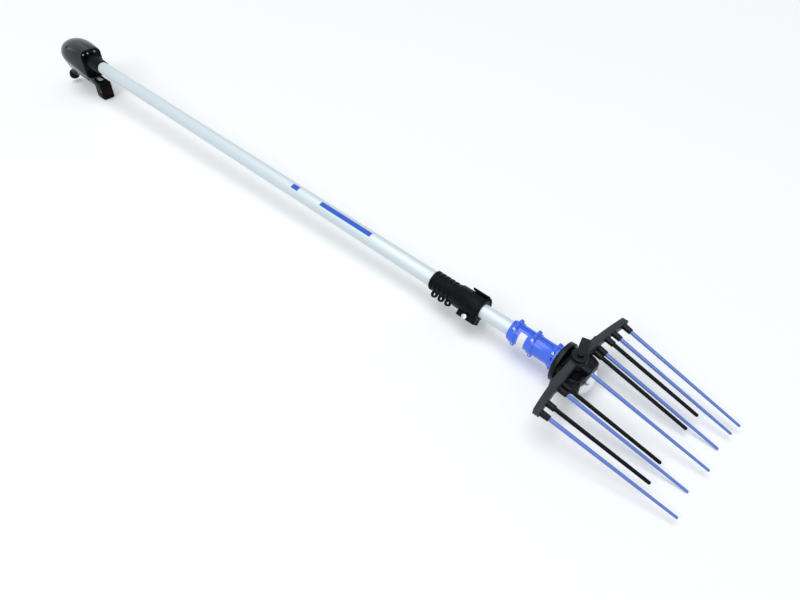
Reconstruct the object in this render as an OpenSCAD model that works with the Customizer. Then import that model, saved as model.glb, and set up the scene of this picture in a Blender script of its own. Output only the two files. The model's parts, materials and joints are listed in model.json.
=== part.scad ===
// Electric olive harvester: a control handle, a telescopic aluminium pole with a lever
// clamp, a motor in a blue clamshell casing, and a swinging comb of long rods.
// X runs along the pole towards the comb, Z is up, and the pole axis is level.
// The handle's switch block stands on Z = 0.

/* [Pole] */
// Outside diameter of the outer tube
outer_d = 35; // [33:0.5:40]
// Wall of both tubes
tube_wall = 1.5; // [1:0.1:2]
// Radial gap between the inner tube and the bore of the outer tube
guide_gap = 1; // [0.6:0.1:1.6]
// Outer tube that shows between the handle's face and the clamp
outer_show = 1378; // [1200:10:1800]
// Inner tube that shows between the clamp and the motor casing, pole pushed in
inner_show = 71; // [40:1:120]
// How far the pole pulls out
extension = 1000; // [500:10:1100]
// Inner tube still held in the outer tube when pulled right out
inner_overlap = 150; // [100:5:180]

/* [Handle] */
// Length of the handle's dome
dome_len = 146; // [136:1:156]
// Width of the handle's dome
dome_w = 100; // [92:1:108]
// Height of the handle's dome
dome_h = 82; // [78:1:92]
// Width of the handle's front face
face_w = 64; // [62:1:70]
// Height of the front face above the pole axis
face_top = 38; // [37:1:42]
// Depth of the front face below the pole axis
face_bottom = 50; // [48:1:54]
// Wall of the moulded handle shells
shell_wall = 2.6; // [2:0.1:3.2]
// Pole axis above the foot of the switch block
axis_h = 108; // [106:1:120]

/* [Switch] */
// Length of the switch block along the pole
block_len = 34; // [30:1:40]
// Width of the switch block
block_w = 36; // [34:1:42]
// Height of the switch block
block_h = 54; // [50:1:58]
// Width of the rocker
rocker_w = 23; // [20:0.5:25]
// Height of the rocker
rocker_h = 30; // [26:0.5:32]
// How far the rocker tips each way, in degrees
rocker_turn = 8; // [5:1:10]

/* [Clamp] */
// Length of the ribbed sleeve on the outer tube
sleeve_len = 62; // [58:1:74]
// Length of the split collar
collar_len = 64; // [60:1:74]
// Wall of the sleeve under its ribs
sleeve_wall = 2.8; // [2.4:0.2:4]
// Wall of the split collar
collar_wall = 6.6; // [6:0.2:8]

/* [Motor] */
// Diameter of the motor and its gearbox
motor_d = 36; // [33:0.5:37]
// Length of the motor casing
casing_len = 105; // [102:1:112]
// Wall of the motor casing
casing_wall = 2.4; // [2:0.1:3]
// Roll of the casing's seam from upright, in degrees
seam_roll = 0; // [-30:1:30]

/* [Head] */
// Diameter of the gear housing
drum_d = 84; // [82:1:90]
// Housing above the pole axis
drum_up = 14; // [14:0.5:15]
// Housing below the pole axis
drum_down = 18; // [17:0.5:22]
// Diameter of the round guard between the motor and the comb
guard_d = 82; // [76:1:82]
// Diameter of the upright swing shaft
swing_d = 12; // [10:0.5:13]
// Throw of the crank pin
crank_throw = 5.1; // [4:0.1:5.2]

/* [Comb] */
// Length of the comb bar
bar_len = 290; // [286:2:330]
// Height of the comb bar
bar_h = 14; // [12:0.5:16]
// Depth of the comb bar
bar_depth = 15; // [13:0.5:17]
// How far the bar's ends stand ahead of its middle
bar_bow = 13; // [6:1:16]
// Comb bar above the pole axis
bar_up = 24.5; // [24.5:0.5:27]
// Diameter of a long rod at its root
rod_d = 8; // [7:0.2:8.6]
// Diameter of a long rod at its tip
rod_tip_d = 5; // [4:0.2:6]
// Length of a long rod outside its socket
long_rod_len = 241; // [200:2:300]
// Length of a short rod outside its socket
short_rod_len = 183; // [140:2:220]
// Downward lean of the rods, in degrees
rod_droop = 11.3; // [4:0.1:14]
// Inward lean of the outermost rods, in degrees
rod_toe = 4.6; // [0:0.1:7]

/* [Hidden] */
$fn = 64;
soft_fn = 32;
dome_fn = 36;
overrun = 1;
seat_gap = 0.05;
run_gap = 0.05;
clear_gap = 0.3;

// Pole
outer_r = outer_d / 2;
bore_r = outer_r - tube_wall;
inner_r = bore_r - guide_gap;
tube_seat = 95;
bush_len = 30;
clamp_x = outer_show;
collar_x = clamp_x + sleeve_len;
clamp_front = collar_x + collar_len;
liner_len = 42;
lip_len = 4;
outer_front = clamp_front - lip_len - liner_len;
casing_x = clamp_front + inner_show;
inner_hold = 30;
inner_front = casing_x + inner_hold;
inner_rear = outer_front - inner_overlap - extension;

// Handle
face_back = 10;
dome_set = 1;
dome_back = face_back + dome_set + dome_len / 2;
dome_up = 0;
corner_r = 18;
rim_len = 6;
tail_in = 21;
tail_back = dome_back + dome_len / 2 - tail_in;
tail_drop = 65;
tail_r = 20;
arm_r = 18;
arm_drop = axis_h - block_h / 2 - arm_r;
arm_in = 24;
arm_back = tail_back - arm_in;
arm_end = 20;
gusset_in = 32;
gusset_back = tail_back - gusset_in;
gusset_drop = 52;
gusset_r = 20;
rib_t = 4;
rib_1_x = -36;
rib_2_x = -86;
panel_t = 3;
panel_back = 1.5;
panel_front = -face_back - panel_back;
board_t = 1.6;
post_len = 11;
post_r = 3;
led_r = 3;
led_side = 7.3;
collar_nose_len = 66;
collar_nose_tip_wall = 2;
collar_nose_root_wall = 5.5;
led_z = outer_r + collar_nose_root_wall + led_r;
bolt_r = 2;
boss_r = 5;
boss_len = 16;
head_r = 3.6;
head_t = 2.4;
seat_share = 0.62;

// Cable gland
gland_tilt = 45;
gland_yaw = 45;
gland_boss_r = 13;
gland_boss_len = 4;
gland_thread_r = 9;
gland_r = 15.5;
gland_len = 17;
gland_nut_r = 12;
gland_nut_len = 5;
cable_r = 4.2;
cable_depth = 26;
gland_hex_share = 0.35;
gland_round_share = 0.94;
gland_mouth_share = 0.6;

// Switch
block_x = -3;
block_round = 6;
bezel_t = 2;
bezel_rim = 3;
pocket_depth = 14;
rocker_depth = 11;
rocker_dish = 2;
rocker_proud = 3.2;
rocker_pin_r = 1.6;
rocker_tip = rocker_depth / 2 + rocker_proud;
rocker_corner = atan2(rocker_h / 2, rocker_tip) + rocker_turn;
rocker_reach = sqrt(pow(rocker_tip, 2) + pow(rocker_h / 2, 2)) * sin(min(rocker_corner, 90));
rocker_gap = rocker_reach - rocker_h / 2 + clear_gap;
rocker_side_gap = 0.6;
block_z = block_h / 2 - axis_h;
block_front = block_x + block_len;
rocker_pin_x = block_front - rocker_depth / 2;
bracket_w = 12;
bracket_t = 2;
bracket_len = 62;

// Clamp
ear_roll = -133;
sleeve_bore_r = outer_r + seat_gap;
sleeve_r = outer_r + sleeve_wall;
rib_h = 1.4;
rib_count = 6;
rib_w = 4.5;
eye_count = 3;
eye_pitch = 18;
eye_first = 15;
eye_r = 7;
eye_hole_r = 3;
eye_t = 6;
eye_stem = 2;
eye_up = sleeve_r + eye_hole_r + eye_stem;
collar_r = outer_r + collar_wall;
collar_round = 3;
split_w = 3;
split_start = 8;
ear_len = 44;
ear_in = 2;
ear_out = 11;
ear_half = 11;
bolt_clear = 0.4;
tension_r = 3;
tension_head_r = 5.5;
tension_head_t = 4;
washer_t = 2;
washer_r = 6;
hub_knuckle_r = 7;
knuckle_len = 8;
knuckle_gap = 8;
lever_pin_r = 2.5;
lever_gap = 1.2;
lever_t = 3.2;
lever_start = 52;
lever_sweep = 128;
lever_flare = 5;
lever_len = 40;
ear_rear = 20;
tension_x = clamp_front - lever_len / 2 - lip_len;
tension_y = collar_r + ear_out / 2 - ear_in / 2;
lever_pin_z = ear_half + washer_t + hub_knuckle_r + clear_gap;
lever_r = collar_r + lever_gap;

// Motor casing
motor_r = motor_d / 2;
casing_bore_r = motor_r + clear_gap;
casing_r = casing_bore_r + casing_wall;
casing_front = casing_x + casing_len;
ring_h = 2;
ring_w = 10;
ring_shares = [0, 0.475, 1];
ring_first = 11;
flange_h = 6;
flange_r = casing_r + flange_h;
flange_t = 4;
flange_screw_stem = 3.3;
flange_head_r = 2.9;
flange_screw_turns = [60, 120];
lug_r = 4.4;
lug_half = 13;
lug_head_r = 3.2;
lug_up = sqrt(pow(casing_r + ring_h, 2) - pow(lug_half, 2)) + lug_head_r + clear_gap;
lug_bolt_r = 1.7;
rail_h = 3.4;
rail_w = 2.4;
seam_gap = 1.2;
end_bell_len = 9;
motor_len = 40;
gear_len = casing_front - inner_front - motor_len - end_bell_len - clear_gap;
motor_x = inner_front + clear_gap;
gear_x = motor_x + end_bell_len + motor_len;

// Head
drum_r = drum_d / 2;
drum_wall = 4;
roof_t = 2.6;
drum_sink = 5;
drum_x = casing_front + drum_r - drum_sink;
guard_gap = 5;
guard_t = 9;
guard_x = casing_front + guard_gap;
drum_back = drum_x - guard_x;
plate_back = drum_back - guard_t - clear_gap;
front_cut = 27;
rim_step = 2;
rim_w = 5;
neck_step = 1;
neck_r = flange_r - neck_step;
screw_bite = 6;
plate_t = 3;
plate_lip = 1;
plate_step = 3;
plate_inset = 3.5;
plate_front_r = drum_r - plate_inset;
plate_nose_up = 1;
plate_screw_turns = [62, 112, 248, 298];
swing_r = swing_d / 2;
bush_wall = 3;
boss_wall = 3;
crank_reach = 24;
crank_disc_r = 9.6;
crank_disc_t = 5;
crank_pin_r = 2;
roller_r = 3;
roller_len = 6.6;
shaft_r = 4;
fork_clear = 1.9;
prong_t = 4;
fork_in = 19;
fork_out = 25.5;
fork_half = 8.6;
fork_hub_r = 10;
disc_back = 9;
disc_x = drum_x - crank_reach - disc_back;
hub_r = 16;
hub_gap = 2.5;
hub_low = drum_up + hub_gap;
hub_over = 4;
hub_high = bar_up + bar_h / 2 + hub_over;
cap_t = 7;
cap_reach = 44;
cap_ear_w = 18;
cap_ear_turn = 107;
shaft_under = 2;
shaft_high = hub_high - shaft_under;
hub_bolt_r = 3;
hub_bolt_head_r = 6.5;
hub_bolt_head_t = 4.5;

// Comb
socket_len = 16;
socket_sink = 6;
socket_root_r = 6.4;
socket_tip_r = 5.8;
rod_sink = 14;
short_tip_d = 6.6;
lower_drop = 14;
pad_rim = 2;
low_gap = 1.4;
low_pitch = 18;
bar_taper_share = 0.86;
bar_end = 1.5;
long_sides = [-0.482, -0.83, -0.02, 0.98, 0.366, 0.472];
long_lows = [0, 1, 0, 1, 0, 0];
short_sides = [-0.4, -0.1, 0.25, 0.294];
short_lows = [0, 1, 1, 0];

// Overall reach, used to centre the part over its origin
gland_back = cos(gland_tilt) * cos(gland_yaw);
gland_side = gland_r * sqrt(1 - pow(gland_back, 2));
x_rear = -tail_back - (tail_r + gland_boss_len + gland_len) * gland_back - gland_side;
rod_run = (socket_sink + socket_len + long_rod_len) * cos(rod_droop) + rod_tip_d / 2;
long_roots = [for (i = [0 : len(long_sides) - 1]) rod_root(long_sides[i], long_lows[i])[0]];
x_front = drum_x + rod_run + max(long_roots);
x_mid = (x_rear + x_front) / 2;

// Puts the pole frame (face of the handle at X = 0, pole axis at Z = 0) in the part's frame
module in_place() {
    translate([-x_mid, 0, axis_h])
        children();
}

// Cylinder along the pole
module bar_x(x, len, r) {
    translate([x, 0, 0])
        rotate([0, 90, 0])
            cylinder(r = r, h = len);
}

// Tube along the pole
module ring_x(x, len, r_out, r_in) {
    difference() {
        bar_x(x, len, r_out);
        bar_x(x - overrun, len + 2 * overrun, r_in);
    }
}

// Rectangle with round corners, centred
module round_rect(w, h, r) {
    square([w - 2 * r, h], center = true);
    square([w, h - 2 * r], center = true);
    for (i = [-1, 1], j = [-1, 1])
        translate([i * (w / 2 - r), j * (h / 2 - r)])
            circle(r = r);
}

// Round-cornered face of the handle, from x_a to x_b, drawn in by inset
module face_slab(x_a, x_b, inset) {
    for (side = [-1, 1], z = [face_top - corner_r, corner_r - face_bottom])
        translate([x_a, side * (face_w / 2 - corner_r), z])
            rotate([0, 90, 0])
                cylinder(r = corner_r - inset, h = x_b - x_a, $fn = soft_fn);
}

// Helmet-shaped handle body, drawn in by inset; open_front lengthens it through the face
module handle_form(inset, open_front) {
    hull() {
        translate([-dome_back, 0, dome_up])
            scale([dome_len / 2 - inset, dome_w / 2 - inset, dome_h / 2 - inset])
                sphere(r = 1, $fn = dome_fn);
        face_slab(-face_back - rim_len, open_front - face_back, inset);
        translate([-tail_back, 0, -tail_drop])
            sphere(r = tail_r - inset, $fn = dome_fn);
    }
}

// Arm that runs from the tail under the pole to the switch block
module arm_form(inset) {
    hull() {
        translate([-gusset_back, 0, -gusset_drop])
            sphere(r = gusset_r - inset, $fn = dome_fn);
        translate([-arm_back, 0, -arm_drop])
            sphere(r = arm_r - inset, $fn = dome_fn);
        translate([block_x - arm_end, 0, -arm_drop])
            rotate([0, 90, 0])
                cylinder(r = arm_r - inset, h = arm_end, $fn = soft_fn);
    }
}

module gland_axis() {
    translate([-tail_back, 0, -tail_drop])
        rotate([0, -90 - gland_tilt, gland_yaw])
            children();
}

// Places of the shell screws, along and above the pole
function screw_places() = [
    [-dome_back, dome_up + dome_h / 2 - shell_wall - 2 * boss_r],
    [-tail_back, -tail_drop + boss_r],
    [-arm_back / 3, -arm_drop]
];

module screw_line(p, r, y_a, y_b) {
    translate([p[0], y_b, p[1]])
        rotate([90, 0, 0])
            cylinder(r = r, h = y_b - y_a);
}

module handle_shell(side) {
    half_room = 2 * dome_len;
    difference() {
        intersection() {
            union() {
                difference() {
                    union() {
                        handle_form(0, 0);
                        arm_form(0);
                    }
                    handle_form(shell_wall, overrun);
                    arm_form(shell_wall);
                }
                intersection() {
                    handle_form(shell_wall / 2, 0);
                    union() {
                        for (x = [rib_1_x, rib_2_x])
                            translate([x, -dome_w, -outer_r - rib_t])
                                cube([rib_t, 2 * dome_w, 2 * (outer_r + rib_t)]);
                        for (p = screw_places())
                            screw_line(p, boss_r, -dome_w, dome_w);
                    }
                }
                intersection() {
                    arm_form(shell_wall / 2);
                    screw_line(screw_places()[2], boss_r, -dome_w, dome_w);
                }
                gland_axis()
                    translate([0, 0, tail_r - boss_len / 2])
                        cylinder(r = gland_boss_r, h = boss_len / 2 + gland_boss_len);
            }
            translate([-half_room, side > 0 ? 0 : -half_room, -half_room])
                cube([2 * half_room, half_room, 2 * half_room]);
        }
        bar_x(-tube_seat - overrun, tube_seat + 2 * overrun, outer_r + seat_gap);
        gland_axis()
            cylinder(r = gland_thread_r + seat_gap, h = tail_r + gland_boss_len + overrun);
        for (p = screw_places())
            screw_line(p, bolt_r + seat_gap, -dome_w, dome_w);
        for (p = screw_places())
            screw_line(p, head_r + seat_gap, -dome_w, -screw_seat(p));
    }
}

// Depth of a shell screw's seat from the middle plane
function screw_seat(p) = p[1] < -arm_drop + boss_r && p[0] > -tail_back / 2 ? arm_r * seat_share : boss_len;

module left_shell() {
    color("#1d1d1f")
        in_place()
            handle_shell(1);
}

module right_shell() {
    color("#1d1d1f")
        in_place()
            handle_shell(-1);
}

module shell_screws() {
    color("silver")
        in_place()
            for (p = screw_places()) {
                screw_line(p, bolt_r, -screw_seat(p), boss_len / 2);
                screw_line(p, head_r, -screw_seat(p) - head_t, -screw_seat(p));
            }
}

// Places of the status lamps across the panel
function lamp_places() = [for (i = [-3, -1, 2]) [i * led_side, led_z]];

module front_panel() {
    posts = [[-1, 1], [1, 1], [-1, -1], [1, -1]];
    color("#0e0e10")
        in_place()
            difference() {
                union() {
                    hull()
                        face_slab(panel_front - panel_t, panel_front, shell_wall + clear_gap);
                    for (p = posts)
                        translate([0, p[0] * (face_w / 2 - corner_r), p[1] * (outer_r + post_r + rib_t)])
                            bar_x(panel_front - panel_t - post_len, post_len, post_r);
                }
                arm_form(-clear_gap);
                bar_x(-dome_len, 2 * dome_len, outer_r + seat_gap);
                for (p = lamp_places())
                    translate([0, p[0], p[1]])
                        bar_x(-dome_len, 2 * dome_len, led_r + seat_gap);
            }
}

board_x = panel_front - panel_t - post_len - board_t;

module control_board() {
    chip = 9;
    color("#1f6b3a")
        in_place()
            difference() {
                union() {
                    translate([board_x, 0, (face_top - face_bottom) / 2])
                        rotate([90, 0, 90])
                            linear_extrude(board_t)
                                round_rect(face_w - 4 * shell_wall, face_top + face_bottom - 6 * shell_wall,
                                    corner_r / 2);
                    for (side = [-1, 1])
                        translate([board_x - chip / 2, side * (outer_r + chip) - chip / 2, -chip / 2])
                            cube([chip / 2, chip, chip]);
                }
                bar_x(-dome_len, 2 * dome_len, outer_r + clear_gap);
            }
}

module status_lamps() {
    color("white")
        in_place()
            for (p = lamp_places())
                translate([0, p[0], p[1]]) {
                    bar_x(board_x + board_t, panel_front - board_x - board_t, led_r);
                    translate([panel_front, 0, 0])
                        sphere(r = led_r);
                }
}

module nose_collar() {
    color("#1d1d1f")
        in_place()
            translate([panel_front, 0, 0])
                rotate([0, 90, 0])
                    rotate_extrude()
                        polygon([
                            [outer_r + seat_gap, 0],
                            [outer_r + collar_nose_root_wall, 0],
                            [outer_r + collar_nose_root_wall, collar_nose_len / 4],
                            [outer_r + collar_nose_tip_wall, collar_nose_len],
                            [outer_r + seat_gap, collar_nose_len]
                        ]);
}

module block_outline(inset) {
    rotate([90, 0, 90])
        linear_extrude(block_len)
            round_rect(block_w - 2 * inset, block_h - 2 * inset, block_round);
}

module switch_block() {
    pocket_w = rocker_w + 2 * rocker_side_gap;
    pocket_h = rocker_h + 2 * rocker_gap;
    color("#1d1d1f")
        in_place()
            difference() {
                translate([block_x, 0, block_z])
                    block_outline(0);
                translate([block_front - pocket_depth, -pocket_w / 2, block_z - pocket_h / 2])
                    cube([pocket_depth + overrun, pocket_w, pocket_h]);
                screw_line([rocker_pin_x, block_z], rocker_pin_r + seat_gap, -block_w, block_w);
            }
}

module switch_bezel() {
    color("#2b2b2e")
        in_place()
            translate([block_front, 0, block_z])
                rotate([90, 0, 90])
                    linear_extrude(bezel_t)
                        difference() {
                            round_rect(rocker_w + 2 * (rocker_side_gap + bezel_rim),
                                rocker_h + 2 * (rocker_gap + bezel_rim), bezel_rim);
                            square([rocker_w + 2 * rocker_side_gap, rocker_h + 2 * rocker_gap],
                                center = true);
                        }
}

// Side outline of the rocker about its pin: a shallow V face and a round back
module rocker_outline() {
    tip_x = rocker_tip;
    half_h = rocker_h / 2;
    polygon([
        [0, -rocker_depth / 2],
        [tip_x - rocker_dish, -half_h],
        [tip_x, -half_h],
        [tip_x - rocker_dish, 0],
        [tip_x, half_h],
        [tip_x - rocker_dish, half_h],
        [0, rocker_depth / 2]
    ]);
    circle(r = rocker_depth / 2);
}

module switch_rocker() {
    color("#8a1020")
        in_place()
            difference() {
                translate([rocker_pin_x, rocker_w / 2, block_z])
                    rotate([90, 0, 0])
                        linear_extrude(rocker_w)
                            rocker_outline();
                screw_line([rocker_pin_x, block_z], rocker_pin_r + run_gap, -block_w, block_w);
            }
}

module rocker_pin() {
    color("silver")
        in_place()
            screw_line([rocker_pin_x, block_z], rocker_pin_r, -block_w / 2, block_w / 2);
}

module switch_bracket() {
    color("#b9bcc0")
        in_place()
            translate([block_x + block_len / 2 - bracket_len, -bracket_w / 2, block_z + block_h / 2])
                cube([bracket_len, bracket_w, bracket_t]);
}

module cable_gland() {
    seat = tail_r + gland_boss_len;
    color("#232326")
        in_place()
            gland_axis()
                difference() {
                    union() {
                        translate([0, 0, seat])
                            cylinder(r = gland_r, h = gland_len * gland_hex_share, $fn = 6);
                        translate([0, 0, seat])
                            rotate_extrude()
                                polygon([
                                    [0, 0],
                                    [gland_r * gland_round_share, 0],
                                    [gland_r * gland_round_share, gland_len / 2],
                                    [gland_r * gland_mouth_share, gland_len],
                                    [0, gland_len]
                                ]);
                        translate([0, 0, seat - boss_len])
                            cylinder(r = gland_thread_r, h = boss_len);
                    }
                    translate([0, 0, seat + gland_len - cable_depth])
                        cylinder(r = cable_r, h = cable_depth + overrun);
                }
}

module gland_nut() {
    color("#232326")
        in_place()
            gland_axis()
                translate([0, 0, tail_r - boss_len / 2 - gland_nut_len])
                    difference() {
                        cylinder(r = gland_nut_r, h = gland_nut_len, $fn = 6);
                        translate([0, 0, -overrun])
                            cylinder(r = gland_thread_r + seat_gap, h = gland_nut_len + 2 * overrun);
                    }
}

module outer_tube() {
    color("#d4d8dc")
        in_place()
            ring_x(-tube_seat, outer_front + tube_seat, outer_r, bore_r);
}

module inner_tube() {
    color("#dfe3e6")
        in_place()
            ring_x(inner_rear, inner_front - inner_rear, inner_r, inner_r - tube_wall);
}

module guide_bush() {
    color("#e8e8e2")
        in_place()
            ring_x(inner_rear, bush_len, bore_r - run_gap, inner_r + seat_gap);
}

// Frame of the clamp's split: local Y points out along the split, local Z along its bolt
module ear_frame() {
    rotate([ear_roll, 0, 0])
        children();
}

module clamp_body() {
    rib_pitch = (sleeve_len - rib_w) / (rib_count - 1);
    color("#222225")
        in_place()
            difference() {
                union() {
                    bar_x(clamp_x, sleeve_len, sleeve_r);
                    for (i = [0 : rib_count - 1])
                        bar_x(clamp_x + i * rib_pitch, rib_w, sleeve_r + rib_h);
                    bar_x(collar_x, collar_round, collar_r - collar_round / 2);
                    bar_x(collar_x + collar_round, collar_len - 2 * collar_round, collar_r);
                    bar_x(clamp_front - collar_round, collar_round, collar_r - collar_round / 2);
                    ear_frame() {
                        for (i = [0 : eye_count - 1])
                            translate([clamp_x + eye_first + i * eye_pitch, 0, -eye_t / 2]) {
                                translate([0, eye_up, 0])
                                    cylinder(r = eye_r, h = eye_t);
                                translate([-eye_r, 0, 0])
                                    cube([2 * eye_r, eye_up, eye_t]);
                            }
                        translate([tension_x - ear_rear, 0, -ear_half])
                            cube([ear_len, collar_r + ear_out - ear_in, 2 * ear_half]);
                    }
                }
                bar_x(clamp_x - overrun, clamp_front - lip_len - clamp_x + overrun, sleeve_bore_r);
                bar_x(clamp_x, 2 * clamp_front, inner_r + 2 * clear_gap);
                ear_frame() {
                    for (i = [0 : eye_count - 1])
                        translate([clamp_x + eye_first + i * eye_pitch, eye_up, -eye_t])
                            cylinder(r = eye_hole_r, h = 2 * eye_t);
                    translate([collar_x + split_start, 0, -split_w / 2])
                        cube([collar_len, collar_r + 2 * ear_out, split_w]);
                    translate([tension_x, tension_y, -2 * ear_half])
                        cylinder(r = tension_r + bolt_clear, h = 4 * ear_half);
                }
            }
}

module clamp_liner() {
    color("#3a3a3d")
        in_place()
            difference() {
                ring_x(outer_front, liner_len, outer_r, inner_r + run_gap);
                ear_frame()
                    translate([outer_front - overrun, 0, -split_w / 2])
                        cube([liner_len + 2 * overrun, outer_d, split_w]);
            }
}

module tension_bolt() {
    color("#c9ccd0")
        in_place()
            ear_frame()
                translate([tension_x, tension_y, 0]) {
                    translate([0, 0, -ear_half])
                        cylinder(r = tension_r, h = ear_half + lever_pin_z - lever_pin_r);
                    translate([0, 0, -ear_half - tension_head_t])
                        cylinder(r = tension_head_r, h = tension_head_t);
                }
}

module cam_washer() {
    color("#a9acb0")
        in_place()
            ear_frame()
                translate([tension_x, tension_y, ear_half])
                    difference() {
                        cylinder(r = washer_r, h = washer_t);
                        translate([0, 0, -overrun])
                            cylinder(r = tension_r + seat_gap, h = washer_t + 2 * overrun);
                    }
}

module lever_pin() {
    pin_len = 2 * knuckle_len + knuckle_gap;
    color("silver")
        in_place()
            ear_frame()
                translate([0, tension_y, lever_pin_z])
                    bar_x(tension_x - pin_len / 2, pin_len, lever_pin_r);
}

// Outline of the lever's band round the collar, with its turned-out end
module band_plan() {
    far = lever_start + lever_sweep;
    reach = 2 * lever_r;
    intersection() {
        difference() {
            circle(r = lever_r + lever_t, $fn = 2 * $fn);
            circle(r = lever_r, $fn = 2 * $fn);
        }
        polygon([
            [0, 0],
            for (a = [lever_start : lever_sweep / 4 : far]) [reach * cos(a), reach * sin(a)]
        ]);
    }
    rotate(far)
        polygon([
            [lever_r, -lever_t / 2],
            [lever_r + lever_t, -lever_t / 2],
            [lever_r + lever_t + lever_flare / 2, lever_flare],
            [lever_r + lever_flare / 2, lever_flare]
        ]);
}

// Outline of a knuckle and the link from it to the band
module knuckle_plan() {
    link = tension_y - lever_r * cos(lever_start);
    difference() {
        union() {
            translate([tension_y, lever_pin_z])
                circle(r = hub_knuckle_r);
            translate([tension_y - link, lever_pin_z])
                square([link, hub_knuckle_r - lever_t / 4]);
        }
        circle(r = lever_r + lever_t / 4, $fn = 2 * $fn);
        translate([tension_y, lever_pin_z])
            circle(r = lever_pin_r + run_gap);
    }
}

// Wrap-round lever: an arc band with a turned-out end, on two knuckles
module clamp_lever() {
    color("#18181a")
        in_place()
            ear_frame() {
                translate([clamp_front - lever_len, 0, 0])
                    rotate([90, 0, 90])
                        linear_extrude(lever_len)
                            band_plan();
                for (side = [-1, 1])
                    translate([tension_x + side * (knuckle_gap + knuckle_len) / 2 - knuckle_len / 2, 0, 0])
                        rotate([90, 0, 90])
                            linear_extrude(knuckle_len)
                                knuckle_plan();
            }
}

// Frame of the casing's seam: local Z points out along the seam, local Y across it
module seam_frame() {
    rotate([-seam_roll, 0, 0])
        children();
}

function ring_x_places() =
    let (last = casing_len - flange_t - lug_head_r - clear_gap)
    [for (s = ring_shares) casing_x + ring_first + s * (last - ring_first)];

module casing_half(side) {
    reach = 4 * casing_r;
    difference() {
        union() {
            intersection() {
                union() {
                    bar_x(casing_x, casing_len, casing_r);
                    for (x = ring_x_places())
                        bar_x(x - ring_w / 2, ring_w, casing_r + ring_h);
                    bar_x(casing_front - flange_t, flange_t, flange_r);
                    seam_frame()
                        for (up = [-1, 1], x = ring_x_places())
                            translate([x, lug_half, up * lug_up])
                                rotate([90, 0, 0])
                                    cylinder(r = lug_r, h = 2 * lug_half);
                }
                seam_frame()
                    translate([0, side > 0 ? 0 : -reach, -reach])
                        cube([2 * casing_front, reach, 2 * reach]);
            }
            seam_frame()
                for (up = [-1, 1])
                    translate([casing_x, side > 0 ? seam_gap : -seam_gap - rail_w,
                        up > 0 ? 0 : -casing_r - rail_h])
                        cube([casing_len, rail_w, casing_r + rail_h]);
        }
        bar_x(casing_x - overrun, inner_hold + 2 * overrun, inner_r + seat_gap);
        bar_x(inner_front, casing_len, casing_bore_r);
        seam_frame()
            for (up = [-1, 1], x = ring_x_places())
                translate([x, reach, up * lug_up])
                    rotate([90, 0, 0])
                        cylinder(r = lug_bolt_r + seat_gap, h = 2 * reach);
        for (side = [-1, 1], turn = flange_screw_turns)
            rotate([side * turn, 0, 0])
                translate([0, 0, casing_r + flange_screw_stem])
                {
                    bar_x(casing_front - flange_t - overrun, flange_t + 2 * overrun, lug_bolt_r + seat_gap);
                    bar_x(casing_front - flange_t - 2 * ring_w, 2 * ring_w, flange_head_r + clear_gap);
                }
    }
}

module casing_near() {
    color("#2f55e0")
        in_place()
            casing_half(-1);
}

module casing_far() {
    color("#2f55e0")
        in_place()
            casing_half(1);
}

module casing_screws() {
    color("#c9ccd0")
        in_place()
            seam_frame()
                for (up = [-1, 1], x = ring_x_places())
                    translate([x, up * lug_half, up * lug_up])
                        rotate([up * 90, 0, 0]) {
                            cylinder(r = lug_bolt_r, h = 2 * lug_half);
                            translate([0, 0, 2 * lug_half])
                                cylinder(r = lug_head_r, h = head_t);
                        }
}

module motor_end_bell() {
    color("#2a2a2c")
        in_place()
            bar_x(motor_x, end_bell_len, motor_r);
}

module motor_can() {
    color("#9a9da1")
        in_place()
            bar_x(motor_x + end_bell_len, motor_len, motor_r);
}

module gearbox() {
    color("#8b8e92")
        in_place()
            difference() {
                bar_x(gear_x, gear_len, motor_r);
                bar_x(gear_x + gear_len / 2, gear_len, shaft_r + run_gap);
            }
}

module crank_shaft() {
    color("#a5a8ac")
        in_place() {
            bar_x(gear_x + gear_len / 2 + clear_gap, disc_x - gear_x - gear_len / 2 - clear_gap, shaft_r);
            bar_x(disc_x, crank_disc_t, crank_disc_r);
            translate([0, 0, crank_throw])
                bar_x(disc_x + crank_disc_t, roller_len, crank_pin_r);
        }
}

module crank_roller() {
    color("#c2a14d")
        in_place()
            translate([0, 0, crank_throw])
                ring_x(disc_x + crank_disc_t + clear_gap, roller_len - clear_gap, roller_r,
                    crank_pin_r + seat_gap);
}

// Plan of the housing about the swing axis: a disc with a flat front and a flat back
module drum_plan(r, flat, back) {
    intersection() {
        circle(r = r, $fn = 2 * $fn);
        translate([-back, -2 * r])
            square([back + flat, 4 * r]);
    }
}

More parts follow.
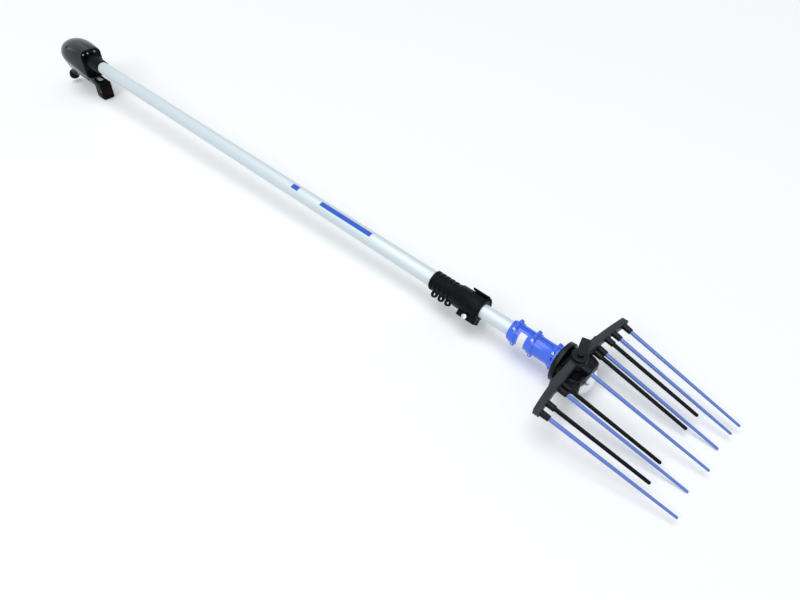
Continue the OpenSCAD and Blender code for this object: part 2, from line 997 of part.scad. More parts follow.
module head_housing() {
    color("#161618")
        in_place()
            difference() {
                union() {
                    translate([drum_x, 0, -drum_down])
                        linear_extrude(drum_down + drum_up - rim_step)
                            drum_plan(drum_r, front_cut, drum_back);
                    translate([drum_x, 0, drum_up - rim_step])
                        linear_extrude(rim_step)
                            difference() {
                                drum_plan(drum_r - rim_step / 2, front_cut, drum_back);
                                drum_plan(drum_r - rim_w, front_cut - rim_w, drum_back - rim_w);
                            }
                    bar_x(casing_front, guard_gap + guard_t / 2, neck_r);
                    bar_x(guard_x, guard_t, guard_d / 2);
                    translate([drum_x, 0, 0])
                        cylinder(r = swing_r + bush_wall + boss_wall, h = drum_up);
                }
                translate([drum_x, 0, -drum_down - overrun])
                    linear_extrude(drum_down + overrun + drum_up - rim_step - roof_t)
                        drum_plan(drum_r - drum_wall, front_cut - drum_wall, drum_back - drum_wall);
                bar_x(casing_front - overrun, drum_r, crank_disc_r + 2 * clear_gap);
                translate([drum_x, 0, 0])
                    cylinder(r = swing_r + bush_wall + seat_gap, h = 2 * drum_up);
                for (a = plate_screw_turns)
                    translate([drum_x, 0, -drum_down - overrun])
                        rotate(a)
                            translate([drum_r - drum_wall / 2, 0, 0])
                                cylinder(r = bolt_r / 2 + seat_gap, h = drum_down);
                for (side = [-1, 1], turn = flange_screw_turns)
                    rotate([side * turn, 0, 0])
                        translate([0, 0, casing_r + flange_screw_stem])
                            bar_x(casing_front - overrun, 2 * flange_t, lug_bolt_r + seat_gap);
            }
}

// Raised front of the base plate, ahead of the housing's flat
module plate_nose_plan() {
    difference() {
        circle(r = plate_front_r, $fn = 2 * $fn);
        translate([-2 * drum_r, -2 * drum_r])
            square([2 * drum_r + front_cut + clear_gap, 4 * drum_r]);
    }
}

module base_plate() {
    color("#cfd2d6")
        in_place()
            translate([drum_x, 0, -drum_down - plate_t])
                difference() {
                    union() {
                        linear_extrude(plate_t)
                            drum_plan(drum_r + plate_lip, front_cut + plate_step, plate_back);
                        linear_extrude(plate_t + drum_down + plate_nose_up)
                            plate_nose_plan();
                        cylinder(r = swing_r + bush_wall + boss_wall, h = 2 * plate_t);
                    }
                    translate([0, 0, plate_t / 2])
                        cylinder(r = swing_r + bush_wall + seat_gap, h = 2 * plate_t);
                    for (a = plate_screw_turns)
                        rotate(a)
                            translate([drum_r - drum_wall / 2, 0, -overrun])
                                cylinder(r = bolt_r / 2 + seat_gap, h = 2 * plate_t);
                }
}

module plate_screws() {
    color("#8f9296")
        in_place()
            for (a = plate_screw_turns)
                translate([drum_x, 0, -drum_down - plate_t])
                    rotate(a)
                        translate([drum_r - drum_wall / 2, 0, 0]) {
                            cylinder(r = bolt_r / 2, h = drum_down / 2);
                            translate([0, 0, -head_t / 2])
                                cylinder(r = bolt_r, h = head_t / 2);
                        }
}

module flange_screws() {
    color("#c9ccd0")
        in_place()
            for (side = [-1, 1], turn = flange_screw_turns)
                rotate([side * turn, 0, 0])
                    translate([0, 0, casing_r + flange_screw_stem]) {
                        bar_x(casing_front - flange_t, flange_t + screw_bite, lug_bolt_r);
                        bar_x(casing_front - flange_t - head_t, head_t, flange_head_r);
                    }
}

module upper_bush() {
    low = drum_up - rim_step - roof_t;
    color("#c2a14d")
        in_place()
            translate([drum_x, 0, low])
                difference() {
                    cylinder(r = swing_r + bush_wall, h = drum_up - low);
                    translate([0, 0, -overrun])
                        cylinder(r = swing_r + run_gap, h = drum_up + 2 * overrun);
                }
}

module lower_bush() {
    color("#c2a14d")
        in_place()
            translate([drum_x, 0, -drum_down - plate_t / 2])
                difference() {
                    cylinder(r = swing_r + bush_wall, h = 3 * plate_t / 2);
                    translate([0, 0, plate_t / 2])
                        cylinder(r = swing_r + run_gap, h = 2 * plate_t);
                }
}

module swing_shaft() {
    low = -drum_down + clear_gap;
    color("#a5a8ac")
        in_place()
            difference() {
                translate([drum_x, 0, low])
                    cylinder(r = swing_r, h = shaft_high - low);
                translate([drum_x, 0, hub_high - 3 * cap_t])
                    cylinder(r = hub_bolt_r + seat_gap, h = 4 * cap_t);
            }
}

module drive_fork() {
    slot_half = roller_r + fork_clear;
    top = min(fork_half, drum_up - rim_step - roof_t - clear_gap);
    color("#6f7276")
        in_place()
            translate([drum_x, 0, -fork_half])
                difference() {
                    union() {
                        cylinder(r = fork_hub_r, h = fork_half + top);
                        translate([-fork_out, -slot_half - prong_t, 0])
                            cube([fork_out, 2 * (slot_half + prong_t), fork_half + top]);
                    }
                    translate([-fork_out - overrun, -slot_half, -overrun])
                        cube([fork_out - fork_in + overrun, 2 * slot_half, 4 * fork_half]);
                    translate([0, 0, -overrun])
                        cylinder(r = swing_r + seat_gap, h = 4 * fork_half);
                }
}

// How far the bar's middle line stands ahead of the swing axis at a side place
function bar_line(y) = bar_bow * pow(2 * y / bar_len, 2) - bar_bow / 4;
function bar_front(y) = bar_line(y) + bar_depth / 2;
function hub_front(y) = abs(y) < hub_r ? sqrt(pow(hub_r, 2) - pow(y, 2)) : -hub_r;

// Side place of a rod: a share of the bar, or for the low row a step outside the drum
function low_side(share) = sign(share) * (drum_r + socket_root_r + low_gap) + share * low_pitch;
function rod_side(share, low) = low == 1 ? low_side(share) : share * bar_len;

// Root of a rod's socket on the bar
function rod_root(share, low) = [
    max(bar_front(rod_side(share, low)), hub_front(rod_side(share, low))) - socket_sink,
    rod_side(share, low),
    bar_up - low * lower_drop
];

// Moves to a rod's root, with local Z along the rod
module rod_frame(share, low) {
    translate([drum_x, 0, 0])
        translate(rod_root(share, low))
            rotate([0, 0, -2 * rod_side(share, low) / bar_len * rod_toe])
                rotate([0, 90 + rod_droop, 0])
                    children();
}

module socket_form() {
    cylinder(r = socket_root_r, h = socket_sink);
    translate([0, 0, socket_sink])
        cylinder(r1 = socket_root_r, r2 = socket_tip_r, h = socket_len);
}

// Every rod: side share of the bar, low row or not
function all_rods() = concat(
    [for (i = [0 : len(long_sides) - 1]) [long_sides[i], long_lows[i]]],
    [for (i = [0 : len(short_sides) - 1]) [short_sides[i], short_lows[i]]]
);

module bar_plan() {
    steps = 16;
    polygon(concat(
        [for (i = [-steps : steps])
            let (y = i / steps * bar_len / 2)
            [bar_line(y) - bar_depth / 2 * taper(i / steps), y]],
        [for (i = [steps : -1 : -steps])
            let (y = i / steps * bar_len / 2)
            [bar_line(y) + bar_depth / 2 * taper(i / steps), y]]
    ));
}

function taper(share) = 1 - (1 - bar_taper_share) * pow(share, 2);

// Block under the bar that carries the low rods of one side
module low_pad(places) {
    rim = socket_root_r + pad_rim;
    front = min([for (y = places) bar_front(y)]) - pad_rim / 2;
    translate([drum_x + front - 2 * rim, min(places) - rim, bar_up - lower_drop - socket_root_r])
        cube([2 * rim, max(places) - min(places) + 2 * rim, lower_drop + socket_root_r]);
}

module comb_bar() {
    end_half = bar_depth / 2 * bar_taper_share;
    color("#1b1b1d")
        in_place()
            difference() {
                union() {
                    translate([drum_x, 0, bar_up - bar_h / 2])
                        linear_extrude(bar_h)
                            bar_plan();
                    for (side = [-1, 1])
                        translate([drum_x + bar_line(bar_len / 2) - end_half, side * bar_len / 2 - bar_end,
                            bar_up - bar_h / 2])
                            cube([2 * end_half, 2 * bar_end, bar_h]);
                    translate([drum_x, 0, hub_low])
                        cylinder(r = hub_r, h = hub_high - hub_low);
                    for (side = [-1, 1])
                        low_pad([
                            for (rod = all_rods())
                                if (rod[1] == 1 && rod[0] * side > 0) low_side(rod[0])
                        ]);
                }
                for (rod = all_rods())
                    rod_frame(rod[0], rod[1])
                        cylinder(r = socket_root_r + seat_gap, h = socket_sink + socket_len);
                translate([drum_x, 0, 0])
                    cylinder(r = swing_r + seat_gap, h = shaft_high + seat_gap);
                translate([drum_x, 0, 0])
                    cylinder(r = hub_bolt_r + seat_gap, h = 2 * hub_high);
            }
}

module hub_cap() {
    color("#242427")
        in_place()
            translate([drum_x, 0, hub_high])
                linear_extrude(cap_t)
                    difference() {
                        union() {
                            circle(r = hub_r);
                            rotate(cap_ear_turn)
                                translate([0, -cap_ear_w / 2])
                                    square([cap_reach, cap_ear_w]);
                        }
                        circle(r = hub_bolt_r + seat_gap);
                    }
}

module hub_bolt() {
    color("#c9ccd0")
        in_place()
            translate([drum_x, 0, 0]) {
                translate([0, 0, hub_high - 2 * cap_t])
                    cylinder(r = hub_bolt_r, h = 3 * cap_t);
                translate([0, 0, hub_high + cap_t])
                    cylinder(r = hub_bolt_head_r, h = hub_bolt_head_t, $fn = 6);
            }
}

module rod_sockets() {
    color("#202023")
        in_place()
            for (rod = all_rods())
                rod_frame(rod[0], rod[1])
                    difference() {
                        socket_form();
                        translate([0, 0, socket_sink + socket_len - rod_sink])
                            cylinder(r = rod_d / 2 + seat_gap, h = rod_sink + overrun);
                    }
}

// One rod: a straight stub in its socket, a tapered length and a round tip
module comb_rod(share, low, len, tip_d) {
    rod_frame(share, low)
        translate([0, 0, socket_sink + socket_len - rod_sink]) {
            cylinder(r = rod_d / 2, h = rod_sink);
            translate([0, 0, rod_sink])
                cylinder(r1 = rod_d / 2, r2 = tip_d / 2, h = len);
            translate([0, 0, rod_sink + len])
                sphere(r = tip_d / 2);
        }
}

module long_rod(i) {
    color("#4a73ea")
        in_place()
            comb_rod(long_sides[i - 1], long_lows[i - 1], long_rod_len, rod_tip_d);
}

module short_rod(i) {
    color("#1c1c1e")
        in_place()
            comb_rod(short_sides[i - 1], short_lows[i - 1], short_rod_len, short_tip_d);
}

left_shell();
right_shell();
front_panel();
control_board();
status_lamps();
nose_collar();
shell_screws();
switch_block();
switch_bezel();
switch_rocker();
rocker_pin();
switch_bracket();
cable_gland();
gland_nut();
outer_tube();
inner_tube();
guide_bush();
clamp_body();
clamp_liner();
tension_bolt();
cam_washer();
lever_pin();
clamp_lever();
casing_near();
casing_far();
casing_screws();
motor_can();
motor_end_bell();
gearbox();
crank_shaft();
crank_roller();
head_housing();
base_plate();
plate_screws();
flange_screws();
upper_bush();
lower_bush();
swing_shaft();
drive_fork();
comb_bar();
hub_cap();
hub_bolt();
rod_sockets();
for (i = [1 : len(long_sides)])
    long_rod(i);
for (i = [1 : len(short_sides)])
    short_rod(i);
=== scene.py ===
# %% [markdown]
# # An electric olive harvester
# The harvester lies on a white studio floor: a black control handle, a long telescopic
# aluminium pole, a lever clamp, a blue motor casing and a swinging comb of thin rods.
# The CAD frame gives every size and place, and this script gives the pieces their finish.

# %% Start from the CAD frame
import json
import math

import bmesh
import bpy
from mathutils import Matrix, Vector


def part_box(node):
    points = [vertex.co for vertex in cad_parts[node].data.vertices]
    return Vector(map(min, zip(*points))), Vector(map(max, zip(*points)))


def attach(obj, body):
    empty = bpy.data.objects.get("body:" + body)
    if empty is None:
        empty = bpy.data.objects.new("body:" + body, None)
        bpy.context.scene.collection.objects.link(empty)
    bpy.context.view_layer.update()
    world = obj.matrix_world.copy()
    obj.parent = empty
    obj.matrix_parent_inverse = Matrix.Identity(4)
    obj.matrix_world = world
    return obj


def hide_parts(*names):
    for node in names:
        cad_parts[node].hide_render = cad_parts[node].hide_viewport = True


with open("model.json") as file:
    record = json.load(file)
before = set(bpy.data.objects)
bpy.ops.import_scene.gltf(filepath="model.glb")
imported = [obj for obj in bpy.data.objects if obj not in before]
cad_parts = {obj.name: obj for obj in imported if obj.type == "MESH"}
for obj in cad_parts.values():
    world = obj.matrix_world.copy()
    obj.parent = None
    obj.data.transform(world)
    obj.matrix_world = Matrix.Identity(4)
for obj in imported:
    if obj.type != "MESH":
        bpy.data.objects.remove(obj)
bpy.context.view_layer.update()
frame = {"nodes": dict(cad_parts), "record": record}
MM = 0.001

# %% [markdown]
# The pole is the master line of the drawing. Its X = 0 lies 95 mm from the tube's rear end,
# which sits deep in the handle, and the tube's box gives the height of the pole axis.

# %% Master line of the pole
TUBE_SEAT = 95
tube_low, tube_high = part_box("outer_tube")
FACE_X = tube_low.x + TUBE_SEAT * MM
AXIS_Z = (tube_low.z + tube_high.z) / 2


def at(x, y, z):
    """A point given in millimetres from the drawing's zero on the pole axis."""
    return Vector((FACE_X + x * MM, y * MM, AXIS_Z + z * MM))


print("zero at", round(FACE_X, 4), "axis height", round(AXIS_Z, 4))

# %% [markdown]
# ## Materials
# Moulded plastics get a fine grain in the bump, metals get long brushed lines. A noise node
# gives both, and it reads Object coordinates, so it stays in place when a joint moves. An
# image would need a UV map on every piece, so a pattern that is worked out is simpler here.
# The same noise also varies the roughness a little, as wear and handling do.

# %% Material helper
ROUGH_SPREAD = 0.07
LEAST_ROUGH = 0.02
COAT_ROUGH = 0.15
NOISE_DETAIL = 3
BUMP_DEPTH = 0.3 * MM


def finish(name, color, rough, metal=0.0, grain=0.0, grain_size=900.0, coat=0.0, gloss=0.5,
           stretch=(1, 1, 1)):
    mat = bpy.data.materials.new(name)
    mat.use_nodes = True
    nodes, links = mat.node_tree.nodes, mat.node_tree.links
    shader = nodes["Principled BSDF"]
    shader.inputs["Base Color"].default_value = (*color, 1)
    shader.inputs["Metallic"].default_value = metal
    shader.inputs["Specular IOR Level"].default_value = gloss
    shader.inputs["Coat Weight"].default_value = coat
    shader.inputs["Coat Roughness"].default_value = COAT_ROUGH
    coords = nodes.new("ShaderNodeTexCoord")
    turn = nodes.new("ShaderNodeMapping")
    turn.inputs["Scale"].default_value = stretch
    noise = nodes.new("ShaderNodeTexNoise")
    noise.inputs["Scale"].default_value = grain_size
    noise.inputs["Detail"].default_value = NOISE_DETAIL
    spread = nodes.new("ShaderNodeMapRange")
    spread.inputs["To Min"].default_value = max(rough - ROUGH_SPREAD, LEAST_ROUGH)
    spread.inputs["To Max"].default_value = min(rough + ROUGH_SPREAD, 1.0)
    bump = nodes.new("ShaderNodeBump")
    bump.inputs["Strength"].default_value = grain
    bump.inputs["Distance"].default_value = BUMP_DEPTH
    links.new(coords.outputs["Object"], turn.inputs["Vector"])
    links.new(turn.outputs["Vector"], noise.inputs["Vector"])
    links.new(noise.outputs["Fac"], spread.inputs["Value"])
    links.new(spread.outputs["Result"], shader.inputs["Roughness"])
    links.new(noise.outputs["Fac"], bump.inputs["Height"])
    links.new(bump.outputs["Normal"], shader.inputs["Normal"])
    return mat


print("noise in the roughness, plus and minus", ROUGH_SPREAD)

# %% [markdown]
# The tubes are anodised, which dulls the aluminium, so they are only partly metal and the
# noise is stretched along the pole into drawn lines. Screws, plate and bushes are bare metal.

# %% Metals
DRAWN_LINES = (0.03, 1, 1)
MATS = {
    "aluminium": finish("anodised aluminium", (0.69, 0.76, 0.80), 0.52, metal=0.3, grain=0.05,
                        grain_size=500, stretch=DRAWN_LINES),
    "steel": finish("bright steel", (0.66, 0.67, 0.69), 0.28, metal=1.0, grain=0.04, grain_size=700),
    "plate_bright": finish("bright plate", (0.80, 0.82, 0.85), 0.24, metal=1.0, grain=0.02,
                           grain_size=600),
    "bronze": finish("sintered bronze", (0.50, 0.34, 0.14), 0.4, metal=1.0),
}
print(len(MATS), "metals")

# %% [markdown]
# The black plastics are not all alike. The handle is polished, the clamp and the head have a
# fine spark grain, and the bar is a paler, filled plastic. Under a white sky the tone of a
# black piece is mostly its reflection, so the gloss tells them apart more than the colour.

# %% Black plastics
BLACKS = {
    "handle_black": finish("handle plastic", (0.004, 0.005, 0.007), 0.26, grain=0.03,
                           grain_size=1500, gloss=0.2, coat=0.35),
    "dull_black": finish("dull black plastic", (0.002, 0.003, 0.004), 0.42, grain=0.10,
                         grain_size=1500, gloss=0.07),
    "panel_black": finish("panel plastic", (0.002, 0.003, 0.004), 0.25, grain=0.02, gloss=0.10),
    "clamp_black": finish("clamp plastic", (0.002, 0.003, 0.005), 0.42, grain=0.12,
                          grain_size=1300, gloss=0.08),
    "head_black": finish("head plastic", (0.003, 0.004, 0.006), 0.36, grain=0.12,
                         grain_size=1300, gloss=0.18),
    "bar_black": finish("bar plastic", (0.020, 0.023, 0.030), 0.42, grain=0.10, grain_size=1300,
                        gloss=0.3),
    "black_rod": finish("black rod", (0.002, 0.003, 0.005), 0.36, grain=0.06, gloss=0.10),
}
MATS.update(BLACKS)
print(len(BLACKS), "black plastics")

# %% [markdown]
# The coloured pieces are few: the blue casing and rods, the dark red rocker, the clear lamp
# lenses, and the board and bush that stay inside.

# %% Coloured plastics
COLOURS = {
    "blue_plastic": finish("blue casing", (0.050, 0.160, 0.90), 0.28, grain=0.05, coat=0.1),
    "blue_rod": finish("blue rod", (0.105, 0.205, 0.62), 0.26, grain=0.04, gloss=0.6),
    "red_plastic": finish("red rocker", (0.010, 0.0015, 0.002), 0.3, gloss=0.08),
    "lamp_clear": finish("lamp lens", (0.46, 0.48, 0.52), 0.2, coat=0.4),
    "board_green": finish("circuit board", (0.015, 0.14, 0.05), 0.45),
    "nylon": finish("nylon bush", (0.78, 0.78, 0.74), 0.5),
}
MATS.update(COLOURS)
print(len(COLOURS), "coloured plastics")

# %% [markdown]
# The record says which slot and which body each CAD node belongs to. A node that stays as it
# is takes the material of its slot here, and a piece that stands for a node asks for both.

# %% Slots and bodies of the record
slot_of = {part["node"]: part["material_slot"] for part in frame["record"]["subparts"]}
body_of = {}
for body, names in frame["record"]["behaviour"]["bodies"].items():
    for name in names:
        body_of[name] = body
for name, obj in frame["nodes"].items():
    obj.data.materials.clear()
    obj.data.materials.append(MATS[slot_of[name]])
print(len(frame["nodes"]), "CAD nodes on", len(set(body_of.values())), "bodies have their material")

# %% [markdown]
# ## Moulded and machined pieces
# The solids of the CAD have edges as sharp as a knife, but a moulded or machined piece has a
# small round on each edge, and that round is what catches the light. One could model each
# piece again, but the CAD already has the right shape. So a copy of its mesh is merged, its
# flat triangles are joined, and its sharp edges get a bevel. Only the edges that turn by more
# than forty degrees are rounded, so the facets of a curved face stay smooth.

# %% Merged copy with rounded edges
SAME_POINT = 0.002 * MM
FLAT_TURN = 0.5
KEEN_TURN = 40
ROUND_STEPS = 2


def merged_copy(node):
    bm = bmesh.new()
    bm.from_mesh(frame["nodes"][node].data)
    bmesh.ops.remove_doubles(bm, verts=bm.verts, dist=SAME_POINT)
    bmesh.ops.dissolve_limit(bm, angle_limit=math.radians(FLAT_TURN), verts=bm.verts, edges=bm.edges,
                             use_dissolve_boundaries=False)
    return bm


def round_edges(bm, radius, least=KEEN_TURN):
    keen = [e for e in bm.edges if e.is_manifold and e.calc_face_angle() > math.radians(least)]
    bmesh.ops.bevel(bm, geom=keen, offset=radius * MM, offset_type="OFFSET", segments=ROUND_STEPS,
                    profile=0.5, affect="EDGES", clamp_overlap=True, material=-1)


print("edges that turn by over", KEEN_TURN, "degrees get a round")

# %% [markdown]
# Each finished mesh becomes a piece: smooth faces with creases, a material and the body that it
# moves with. The material is its slot's unless another is named, and the CAD node that it stands for
# is hidden.

# %% Finished piece on its body
def add_piece(bm, name, slot_name, body, stands_for=(), material=None):
    mesh = bpy.data.meshes.new(name)
    bm.to_mesh(mesh)
    bm.free()
    mesh.shade_smooth()
    mesh.set_sharp_from_angle(angle=math.radians(KEEN_TURN))
    mesh.materials.append(MATS[material or slot_name])
    obj = bpy.data.objects.new(name, mesh)
    bpy.context.scene.collection.objects.link(obj)
    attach(obj, body)
    if stands_for:
        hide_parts(*stands_for)
    print(name, len(mesh.polygons), "faces on", body)


def add_finished(bm, node, material=None):
    add_piece(bm, node + "_finished", slot_of[node], body_of[node], (node,), material)


def finished(rounds, material=None):
    """Finish copies of CAD nodes, given with the radius of their edges in millimetres."""
    for node, radius in rounds.items():
        bm = merged_copy(node)
        if radius:
            round_edges(bm, radius)
        add_finished(bm, node, material)


print("faces that meet at over", KEEN_TURN, "degrees stay creased")

# %% [markdown]
# The handle is two polished half shells round a flat panel. Moulded edges of this size have a
# round of about half a millimetre, and the bent bracket under the tube has one from its die.

# %% Handle pieces
finished({
    "left_shell": 0.5,
    "right_shell": 0.5,
    "front_panel": 0.3,
    "status_lamps": 0.4,
    "switch_rocker": 0.6,
    "switch_bracket": 0.5,
})

# %% [markdown]
# The collar, the switch block, its bezel and the cable gland come from other moulds and are
# duller than the shells. The record puts them in the slot of the handle, but here they show a finish
# of their own.

# %% Dull black pieces of the handle
finished({
    "nose_collar": 0.6,
    "switch_block": 1.6,
    "switch_bezel": 0.5,
    "cable_gland": 0.8,
}, "dull_black")

# %% [markdown]
# A cut tube is only deburred, so its ends get a very small round. The clamp is a moulded
# sleeve with a wrap-round lever, and its bolt and washer are turned.

# %% Tubes and clamp
finished({
    "outer_tube": 0.2,
    "inner_tube": 0.2,
    "clamp_body": 0.5,
    "clamp_lever": 0.6,
    "cam_washer": 0.2,
    "tension_bolt": 0.3,
    "clamp_liner": 0.2,
})

# %% [markdown]
# The gear housing is a thick moulding with soft edges, and the base plate below it is bright
# metal. The bolt in the hub is blackened steel, so it takes the finish of the head.

# %% Gear housing, base plate and hub
finished({
    "head_housing": 0.9,
    "base_plate": 0.4,
    "swing_shaft": 0.2,
    "hub_cap": 0.9,
})
finished({"hub_bolt": 0.5}, "head_black")

# %% [markdown]
# The two halves of the motor casing meet along a dark seam. A painted line would float on the
# plastic, so the seam is a real gap: the mating face of each half is drawn back from the
# middle plane, as moulders do to hide a small step between two halves.

# %% Motor casing with an open seam
SEAM_BACK = 0.6 * MM
CASING_ROUND = 0.5


def seamed_half(node, side):
    bm = merged_copy(node)
    mating = [v for v in bm.verts if abs(v.co.y) < SEAM_BACK / 2]
    bmesh.ops.translate(bm, verts=mating, vec=(0, side * SEAM_BACK, 0))
    round_edges(bm, CASING_ROUND)
    print(node, "has", len(mating), "points on its mating face")
    add_finished(bm, node)


seamed_half("casing_near", -1)
seamed_half("casing_far", 1)

# %% [markdown]
# The comb is a bowed bar with a socket for each rod. The rods are round from end to end, with
# no edge in sight to round off, so their copies are only merged and shaded smooth.

# %% Comb
rods = [name for name in frame["nodes"] if "_rod_" in name]
finished({"comb_bar": 0.9}, "bar_black")
finished({"rod_sockets": 0.5})
finished({name: 0 for name in rods})
print(len(rods), "rods")

# %% [markdown]
# ## Ribs on the gear housing
# The round roof of the housing is stiffened by low radial ribs inside its raised rim. They
# could be cut from one star-shaped plate, but a small block for each, turned about the swing
# axis, is simpler. They stay below the rim, so the bar passes over them, and end at the guard.

# %% Roof ribs
ROOF_UP = 12
RIB_TURNS = (95, 116, 138, 222, 244, 265)
RIB_INNER = 18
RIB_OUTER = 37.2
GUARD_ROOM = 23
RIB_WIDTH = 1.6
RIB_HEIGHT = 1.6
RIB_SINK = 0.1
RIB_ROUND = 0.3
shaft_low, shaft_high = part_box("swing_shaft")
swing_x = (shaft_low.x + shaft_high.x) / 2
rib_z = AXIS_Z + (ROOF_UP + RIB_HEIGHT / 2 - RIB_SINK) * MM

bm = bmesh.new()
for turn in RIB_TURNS:
    reach = min(RIB_OUTER, GUARD_ROOM / abs(math.cos(math.radians(turn))))
    rib = bmesh.ops.create_cube(bm, size=1)["verts"]
    bmesh.ops.scale(bm, verts=rib, vec=((reach - RIB_INNER) * MM, RIB_WIDTH * MM, RIB_HEIGHT * MM))
    bmesh.ops.translate(bm, verts=rib, vec=((reach + RIB_INNER) / 2 * MM, 0, 0))
    bmesh.ops.rotate(bm, verts=rib, cent=(0, 0, 0), matrix=Matrix.Rotation(math.radians(turn), 3, "Z"))
bmesh.ops.translate(bm, verts=bm.verts, vec=(swing_x, 0, rib_z))
round_edges(bm, RIB_ROUND)
add_piece(bm, "roof_ribs", "head_black", "lance")

# %% [markdown]
# ## Screws
# The screws are bright steel, apart from the black ones in the flange, and each head has a
# socket for the driver. A head could be modelled by itself, but the CAD copy already stands in
# its seat. Its flat end is a round face of the head's own size, so the socket is made by
# insetting that face and pushing it in.

# %% Screw heads with a socket
CAP_LEAST_SIDES = 13
CAP_AREA_SLACK = 0.12
SOCKET_RIM_SHARE = 0.45
SCREW_ROUND = 0.25
SCREW_KEEN_TURN = 60


def socketed(node, head_radius, depth):
    bm = merged_copy(node)
    area = math.pi * (head_radius * MM) ** 2
    flats = [f for f in bm.faces if len(f.verts) >= CAP_LEAST_SIDES]
    caps = [f for f in flats if abs(f.calc_area() - area) < CAP_AREA_SLACK * area]
    bmesh.ops.inset_individual(bm, faces=caps, thickness=head_radius * SOCKET_RIM_SHARE * MM, depth=0)
    for cap in caps:
        bmesh.ops.translate(bm, verts=cap.verts, vec=-cap.normal * depth * MM)
    round_edges(bm, SCREW_ROUND, least=SCREW_KEEN_TURN)
    print(node, "has", len(caps), "sockets")
    add_finished(bm, node)


socketed("shell_screws", head_radius=3.6, depth=1.2)
socketed("casing_screws", head_radius=3.2, depth=1.2)
socketed("plate_screws", head_radius=2.0, depth=0.7)
socketed("flange_screws", head_radius=2.9, depth=1.0)

# %% [markdown]
# ## Plain films
# The tube carries two blue films and the casing a white one. Each is a thin sheet that wraps
# round the pole axis: one straight edge is spun about that axis, and the sheet gets a little
# thickness so that it has a closed skin. A patch of colour in the tube's own material would be
# quicker, but a film has an edge that catches the light.

# %% Wrapped films
MATS["decal_blue"] = finish("blue decal film", (0.020, 0.110, 0.62), 0.35, gloss=0.4)
MATS["decal_white"] = finish("white label film", (0.90, 0.91, 0.92), 0.4, gloss=0.4)
FILM_THICK = 0.12
FILM_LIFT = 0.15
FILM_STEPS = 24


def wrapped_film(name, material, slot_name, body, along, radius, turns):
    bm = bmesh.new()
    first, last = [math.radians(turn) for turn in turns]
    up = Matrix.Rotation(-first, 3, "X") @ Vector((0, 0, radius * MM))
    ends = [bm.verts.new(at(x, 0, 0) + up) for x in along]
    edge = bm.edges.new(ends)
    bmesh.ops.spin(bm, geom=[*ends, edge], cent=at(0, 0, 0), axis=(-1, 0, 0), dvec=(0, 0, 0),
                   angle=last - first, steps=FILM_STEPS, use_merge=False, use_duplicate=False)
    bmesh.ops.recalc_face_normals(bm, faces=bm.faces)
    bmesh.ops.solidify(bm, geom=bm.faces, thickness=FILM_THICK * MM)
    add_piece(bm, name, slot_name, body, material=material)


print("a film is spun in", FILM_STEPS, "strips")

# %% [markdown]
# The places run along the pole in millimetres, and the turns in degrees from the top of the
# tube. The blue films lie just over the tube, and the white one over the waist of the casing.

# %% Places of the films
film_r = (tube_high.z - tube_low.z) / 2 / MM + FILM_LIFT
WAIST_FILM_R = 20.9
wrapped_film("tube_mark", "decal_blue", "aluminium", "pole",
             along=(934, 957), radius=film_r, turns=(-36, 6))
wrapped_film("tube_stripe", "decal_blue", "aluminium", "pole",
             along=(1034, 1196), radius=film_r, turns=(-34, 4))
wrapped_film("casing_label", "decal_white", "blue_plastic", "lance",
             along=(1599, 1614), radius=WAIST_FILM_R, turns=(-128, -26))

# %% [markdown]
# ## Studio
# The floor is a large white sheet that touches the foot of the switch block and the tips of
# the lower rods. The part is drawn with a level pole, so the sheet rises by about two degrees
# from the foot to the tips. Beyond them it is level again, so the comb slides out above it.

# %% Floor sheet
FLOOR_REACH = 30
FLOOR_ROOM = 1 * MM
block_low, block_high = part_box("switch_block")
foot_x = (block_low.x + block_high.x) / 2
long_rods = [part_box(name) for name in rods if name.startswith("long_rod")]
tip_low, tip_high = min(long_rods, key=lambda box: box[0].z)
stops = [(-FLOOR_REACH, 0), (foot_x, 0), (tip_high.x, tip_low.z), (FLOOR_REACH, tip_low.z)]
sheet = bmesh.new()
right = [sheet.verts.new((x, -FLOOR_REACH, z - FLOOR_ROOM)) for x, z in stops]
left = [sheet.verts.new((x, FLOOR_REACH, z - FLOOR_ROOM)) for x, z in stops]
for k in range(len(stops) - 1):
    sheet.faces.new((right[k], right[k + 1], left[k + 1], left[k]))
floor_mesh = bpy.data.meshes.new("floor")
sheet.to_mesh(floor_mesh)
sheet.free()
floor = bpy.data.objects.new("floor", floor_mesh)
bpy.context.scene.collection.objects.link(floor)
slope = math.atan2(tip_low.z, tip_high.x - foot_x)
print("floor rises", round(math.degrees(slope), 2), "degrees")

# %% [markdown]
# In the picture the floor and the world around it are almost white, yet as much light from
# all sides would wash out the shadow. A Light Path node tells the rays that see a surface,
# straight or in a reflection, from those that only gather light, so that each kind gets its
# own strength.

# %% Strength by kind of ray
def where_seen(tree, strength, hidden, shown):
    ray = tree.nodes.new("ShaderNodeLightPath")
    seen = ray.outputs["Is Camera Ray"]
    for kind in ("Is Glossy Ray", "Is Transmission Ray"):
        both = tree.nodes.new("ShaderNodeMath")
        both.operation = "MAXIMUM"
        tree.links.new(seen, both.inputs[0])
        tree.links.new(ray.outputs[kind], both.inputs[1])
        seen = both.outputs["Value"]
    level = tree.nodes.new("ShaderNodeMapRange")
    level.inputs["To Min"].default_value = hidden
    level.inputs["To Max"].default_value = shown
    tree.links.new(seen, level.inputs["Value"])
    tree.links.new(level.outputs["Result"], strength)


print("camera, glossy and transmission rays see a surface")

# %% [markdown]
# The floor is matt white paper with a faint glow, and the world is a pale blue-white sky.

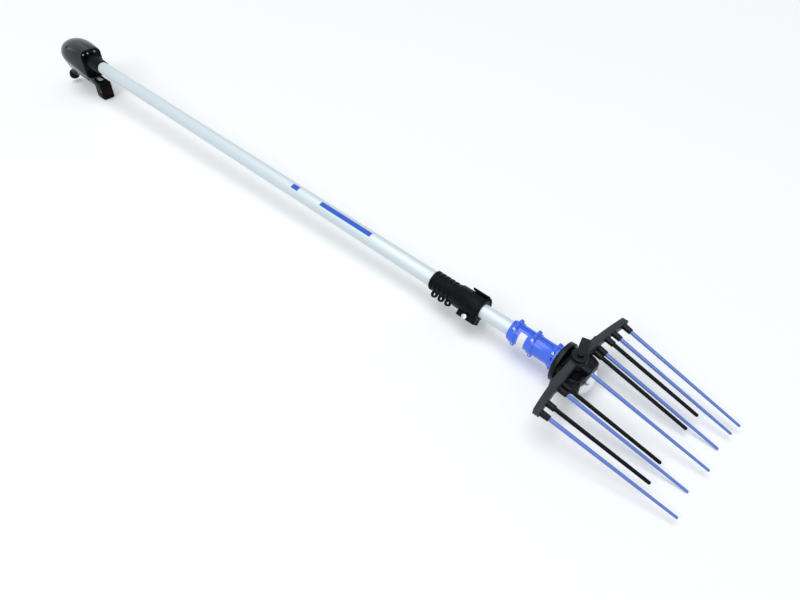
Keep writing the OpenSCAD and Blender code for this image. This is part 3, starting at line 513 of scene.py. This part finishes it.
# %% Floor paper and world
FLOOR_GLOW = 0.17
SKY_FILL = 0.33
floor_mat = bpy.data.materials.new("white floor")
floor_mat.use_nodes = True
paper = floor_mat.node_tree.nodes["Principled BSDF"]
paper.inputs["Base Color"].default_value = (0.92, 0.93, 0.94, 1)
paper.inputs["Roughness"].default_value = 0.9
paper.inputs["Specular IOR Level"].default_value = 0.1
paper.inputs["Emission Color"].default_value = (FLOOR_GLOW, FLOOR_GLOW, FLOOR_GLOW, 1)
where_seen(floor_mat.node_tree, paper.inputs["Emission Strength"], hidden=0, shown=1)
floor_mesh.materials.append(floor_mat)
world = bpy.data.worlds.new("studio")
bpy.context.scene.world = world
world.use_nodes = True
sky = world.node_tree.nodes["Background"]
sky.inputs["Color"].default_value = (0.90, 0.96, 1, 1)
where_seen(world.node_tree, sky.inputs["Strength"], hidden=SKY_FILL, shown=1)
print("the sky fills with a strength of", SKY_FILL)

# %% [markdown]
# Two lamps light the set. A wide key light hangs almost straight above, so the shadow lies
# close under the pole with a soft edge. A large soft box on the camera's side lifts the near
# flanks of the tubes and the casing.

# %% Soft box and key light
def add_lamp(name, kind, power, direction, place=(0, 0, 0)):
    lamp = bpy.data.lights.new(name, kind)
    lamp.energy = power
    obj = bpy.data.objects.new(name, lamp)
    obj.location = place
    obj.rotation_euler = direction.to_track_quat("-Z", "Y").to_euler()
    bpy.context.scene.collection.objects.link(obj)
    return lamp


BOX_PLACE = Vector((0.4, -4.4, 4.4))
BOX_SIDE = 2.4
BOX_POWER = 80
KEY_RAYS = Vector((0.10, 0.10, -1))
KEY_SPREAD = 45
KEY_POWER = 1.42
soft_box = add_lamp("near box", "AREA", BOX_POWER, -BOX_PLACE, BOX_PLACE)
soft_box.size = BOX_SIDE
key = add_lamp("key", "SUN", KEY_POWER, KEY_RAYS)
key.angle = math.radians(KEY_SPREAD)
print("a soft box of", BOX_POWER, "W and a key light", KEY_SPREAD, "degrees wide")

# %% [markdown]
# The camera stands ahead of the comb, on its right, and looks back along the pole. Its place
# is given from the drawing's zero. The directions are its right and back axes in the part's
# frame, and the third axis follows from them.

# %% Camera at the photo's angle
CAM_PLACE = (1988.4, -789.3, 927.8)
CAM_RIGHT = Vector((0.72837, 0.68471, 0.02545))
CAM_BACK = Vector((0.47259, -0.52893, 0.70491))
CAM_LENS = 29.7
CAM_SENSOR = 36
cam_data = bpy.data.cameras.new("camera")
cam_data.sensor_fit = "HORIZONTAL"
cam_data.sensor_width = CAM_SENSOR
cam_data.lens = CAM_LENS
camera = bpy.data.objects.new("camera", cam_data)
bpy.context.scene.collection.objects.link(camera)
cam_up = CAM_BACK.cross(CAM_RIGHT)
cam_turn = Matrix((CAM_RIGHT, cam_up, CAM_BACK)).transposed().to_4x4()
camera.matrix_world = Matrix.Translation(at(*CAM_PLACE)) @ cam_turn
bpy.context.scene.camera = camera
bpy.context.scene.view_settings.view_transform = "Standard"
print("camera at", [round(v, 3) for v in camera.location])
